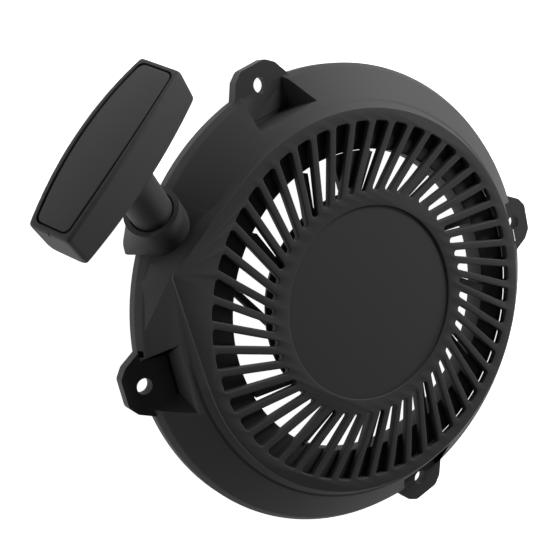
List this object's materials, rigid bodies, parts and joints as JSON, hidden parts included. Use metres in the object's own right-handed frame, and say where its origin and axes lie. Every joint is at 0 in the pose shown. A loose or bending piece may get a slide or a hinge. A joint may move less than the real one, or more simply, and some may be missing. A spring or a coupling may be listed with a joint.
{
  "type": "recoil starter",
  "caption": "Round black pull-start cover with a slotted air grille, corner ears, a rising rope collar, a spring-wound rope reel with swinging pawls and a T handle.",
  "frame": {"origin": "on the starter's axis, in the plane that bolts to the blower housing, which is the underside of the centre screw's head, the rim and the four ears", "axes": "+Z out of the slotted face; the rope leaves towards -X, and the four ears lie the same on each side of the X axis"},
  "size_m": [0.2555, 0.2, 0.0523],
  "materials": {
    "black_moulding": "satin black glass-filled nylon moulding",
    "inner_moulding": "satin black moulding seen from inside",
    "reel_nylon": "dark self-coloured nylon",
    "braided_rope": "braided grey-brown cord",
    "handle_moulding": "fine-grained satin black grip",
    "cover_panel": "smooth satin dark grey panel",
    "zinc_steel": "zinc-plated steel",
    "spring_steel": "oiled blue-grey spring steel",
    "brass": "turned brass"
  },
  "bodies": {
    "cover": {"face_grille": "black_moulding", "housing_shell": "black_moulding", "duct_ring": "inner_moulding", "face_ribs": "inner_moulding", "spring_cup": "inner_moulding", "threaded_insert": "brass", "mainspring": "spring_steel", "rope_guide": "zinc_steel", "thrust_washer": "zinc_steel", "centre_screw": "zinc_steel", "brake_spring": "spring_steel", "rope_strand": "braided_rope"},
    "rope_reel": {"reel": "reel_nylon", "reel_bush": "brass", "rope_wound": "braided_rope", "rope_knot_reel": "braided_rope", "pawl_pin_1": "zinc_steel", "pawl_pin_2": "zinc_steel", "pawl_spring_1": "spring_steel", "pawl_spring_2": "spring_steel"},
    "guide": {"pawl_guide": "reel_nylon"},
    "first_pawl": {"pawl_1": "zinc_steel"},
    "second_pawl": {"pawl_2": "zinc_steel"},
    "handle": {"handle_body": "handle_moulding", "handle_cover": "cover_panel", "rope_knot_handle": "braided_rope", "knot_washer": "zinc_steel", "rope_tail": "braided_rope"}
  },
  "joints": [
    {"name": "reel_spin", "type": "hinge", "parent": "cover", "child": "rope_reel", "pos_m": [0, 0, 0.0102], "axis": [0, 0, -1], "range_deg": [0, 2050], "stiffness_Nm_per_rad": 0.02, "springref_deg": -458.37},
    {"name": "handle_pull", "type": "slide", "parent": "cover", "child": "handle", "axis": [-0.7885, 0.2562, 0.5592], "range_m": [0, 1.1991]},
    {"name": "guide_turn", "type": "hinge", "parent": "rope_reel", "child": "guide", "pos_m": [0, 0, 0.0045], "axis": [0, 0, 1], "range_deg": [0, 20], "stiffness_Nm_per_rad": 0.001, "springref_deg": -28.65},
    {"name": "first_pawl_swing", "type": "hinge", "parent": "rope_reel", "child": "first_pawl", "pos_m": [0.017, 0, 0.0067], "axis": [0, 0, 1], "range_deg": [0, 24]},
    {"name": "second_pawl_swing", "type": "hinge", "parent": "rope_reel", "child": "second_pawl", "pos_m": [-0.017, 0, 0.0067], "axis": [0, 0, 1], "range_deg": [0, 24]}
  ],
  "couplings": [
    {"joint": "handle_pull", "follows": "reel_spin", "m_per_rad": 0.0335},
    {"joint": "first_pawl_swing", "follows": "guide_turn", "ratio": 1.2},
    {"joint": "second_pawl_swing", "follows": "guide_turn", "ratio": 1.2}
  ]
}
